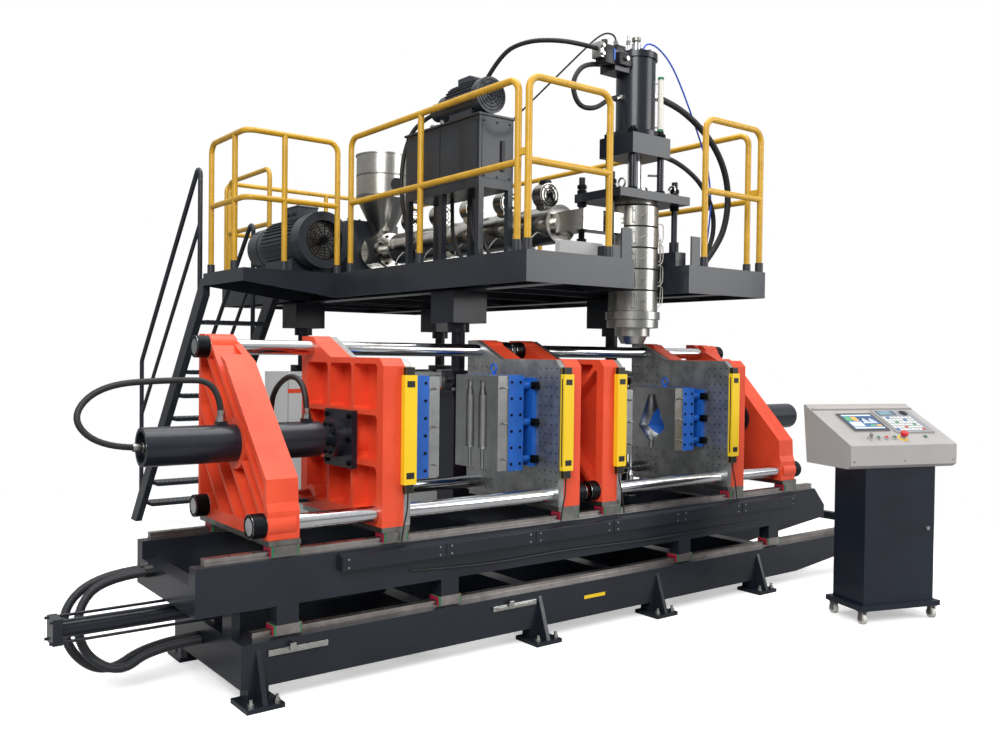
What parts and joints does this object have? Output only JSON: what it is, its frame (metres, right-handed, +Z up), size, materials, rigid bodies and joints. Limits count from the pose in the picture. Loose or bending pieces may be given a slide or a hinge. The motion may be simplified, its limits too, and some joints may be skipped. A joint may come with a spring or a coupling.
{
  "type": "blow moulding machine",
  "caption": "Shuttle blow moulding machine with mirrored clamp stations on a rail carriage, an accumulator head and extruder on a railed platform, and an operator desk.",
  "frame": {"origin": "floor under the middle of the whole footprint", "axes": "+X along the machine's base to the right, +Y from the operator's side to the back, +Z up"},
  "size_m": [6.272, 6.2855, 3.7073],
  "materials": {
    "machine_black": "gloss paint",
    "orange_paint": "satin paint on casting",
    "scraped_steel": "ground and scraped",
    "bar_chrome": "polished",
    "rail_steel": "ground",
    "guide_steel": "ground",
    "platform_grey": "gloss paint",
    "safety_yellow": "gloss paint",
    "curtain_yellow": "powder coat",
    "mould_metal": "machined",
    "stainless": "brushed",
    "desk_grey": "powder coat",
    "cabinet_blue": "powder coat",
    "cabinet_grey": "powder coat",
    "motor_grey": "satin paint",
    "hose_black": "matt",
    "stop_red": "gloss",
    "key_metal": "polished",
    "castor_white": "gloss"
  },
  "bodies": {
    "base": {"base_frame": "machine_black", "base_rails": "rail_steel", "shift_cylinder": "machine_black", "lift_columns": "machine_black", "rear_cabinet": "cabinet_grey", "desk_cabinet": "cabinet_blue", "desk_castors": "castor_white", "desk_case": "desk_grey"},
    "carriage": {"carriage_frame": "machine_black", "carriage_rails": "rail_steel", "shift_rod": "bar_chrome", "carriage_conduits": "hose_black"},
    "left_clamp_frame": {"left_end_plate": "orange_paint", "left_front_platen": "orange_paint", "left_clamp_cylinder": "machine_black", "left_tie_bars": "bar_chrome", "left_front_face": "scraped_steel", "left_front_mould": "mould_metal", "left_front_slides": "guide_steel", "left_front_curtain": "curtain_yellow", "left_hoses": "hose_black"},
    "left_moving_half": {"left_moving_platen": "orange_paint", "left_moving_face": "scraped_steel", "left_moving_mould": "mould_metal", "left_clamp_rod": "machine_black", "left_moving_slides": "guide_steel", "left_moving_curtain": "curtain_yellow"},
    "right_clamp_frame": {"right_end_plate": "orange_paint", "right_front_platen": "orange_paint", "right_clamp_cylinder": "machine_black", "right_tie_bars": "bar_chrome", "right_front_face": "scraped_steel", "right_front_mould": "mould_metal", "right_front_slides": "guide_steel", "right_front_curtain": "curtain_yellow"},
    "right_moving_half": {"right_moving_platen": "orange_paint", "right_moving_face": "scraped_steel", "right_moving_mould": "mould_metal", "right_clamp_rod": "machine_black", "right_moving_slides": "guide_steel", "right_moving_curtain": "curtain_yellow"},
    "platform": {"deck_frame": "platform_grey", "railings": "safety_yellow", "stair": "platform_grey", "extruder": "stainless", "gearbox": "motor_grey", "motor_frame": "motor_grey", "hopper": "stainless", "oil_tank": "machine_black", "head_barrel": "stainless", "head_frame": "machine_black", "lift_screws": "machine_black"},
    "lift_drive": {"lift_shaft": "guide_steel"},
    "screw": {"extruder_screw": "guide_steel"},
    "rotor": {"motor_rotor": "guide_steel"},
    "head_piston": {"head_ram": "bar_chrome"},
    "mandrel": {"die_pin": "guide_steel"},
    "blow_pin": {"blow_pin": "bar_chrome"},
    "stop_button": {"stop_button": "stop_red"},
    "key_switch": {"key_switch": "key_metal"}
  },
  "joints": [
    {"name": "carriage_shift", "type": "slide", "parent": "base", "child": "carriage", "axis": [1, 0, 0], "range_m": [0, 1.48], "deforming": ["carriage_conduits"]},
    {"name": "left_frame_close", "type": "slide", "parent": "carriage", "child": "left_clamp_frame", "axis": [-1, 0, 0], "range_m": [0, 0.199]},
    {"name": "left_platen_close", "type": "slide", "parent": "carriage", "child": "left_moving_half", "axis": [1, 0, 0], "range_m": [0, 0.199]},
    {"name": "right_frame_close", "type": "slide", "parent": "carriage", "child": "right_clamp_frame", "axis": [1, 0, 0], "range_m": [0, 0.199]},
    {"name": "right_platen_close", "type": "slide", "parent": "carriage", "child": "right_moving_half", "axis": [-1, 0, 0], "range_m": [0, 0.199]},
    {"name": "platform_lift", "type": "slide", "parent": "base", "child": "platform", "axis": [0, 0, 1], "range_m": [0, 0.12]},
    {"name": "lift_shaft_turn", "type": "hinge", "parent": "base", "child": "lift_drive", "pos_m": [-0.284, -0.907, 1.43], "axis": [1, 0, 0], "continuous": true},
    {"name": "motor_turn", "type": "hinge", "parent": "platform", "child": "rotor", "pos_m": [-0.704, 0.918, 2.47], "axis": [0, 1, 0], "continuous": true},
    {"name": "screw_turn", "type": "hinge", "parent": "platform", "child": "screw", "pos_m": [0.016, 0.418, 2.46], "axis": [0, 1, 0], "continuous": true},
    {"name": "head_piston_slide", "type": "slide", "parent": "platform", "child": "head_piston", "axis": [0, 0, -1], "range_m": [0, 0.16]},
    {"name": "mandrel_slide", "type": "slide", "parent": "platform", "child": "mandrel", "axis": [0, 0, -1], "range_m": [0, 0.015]},
    {"name": "blow_pin_rise", "type": "slide", "parent": "carriage", "child": "blow_pin", "axis": [0, 0, 1], "range_m": [0, 0.06]},
    {"name": "stop_button_press", "type": "slide", "parent": "base", "child": "stop_button", "axis": [0.1438, 0.4226, -0.8948], "range_m": [0, 0.006], "stiffness_N_per_m": 800},
    {"name": "key_turn", "type": "hinge", "parent": "base", "child": "key_switch", "pos_m": [1.17359, -2.88982, 1.12243], "axis": [-0.1438, -0.4226, 0.8948], "range_deg": [0, 90]}
  ],
  "couplings": [
    {"joint": "left_platen_close", "follows": "left_frame_close", "ratio": 1},
    {"joint": "right_platen_close", "follows": "right_frame_close", "ratio": 1},
    {"joint": "screw_turn", "follows": "motor_turn", "ratio": 0.05},
    {"joint": "lift_shaft_turn", "follows": "platform_lift", "rad_per_m": 523.6}
  ]
}
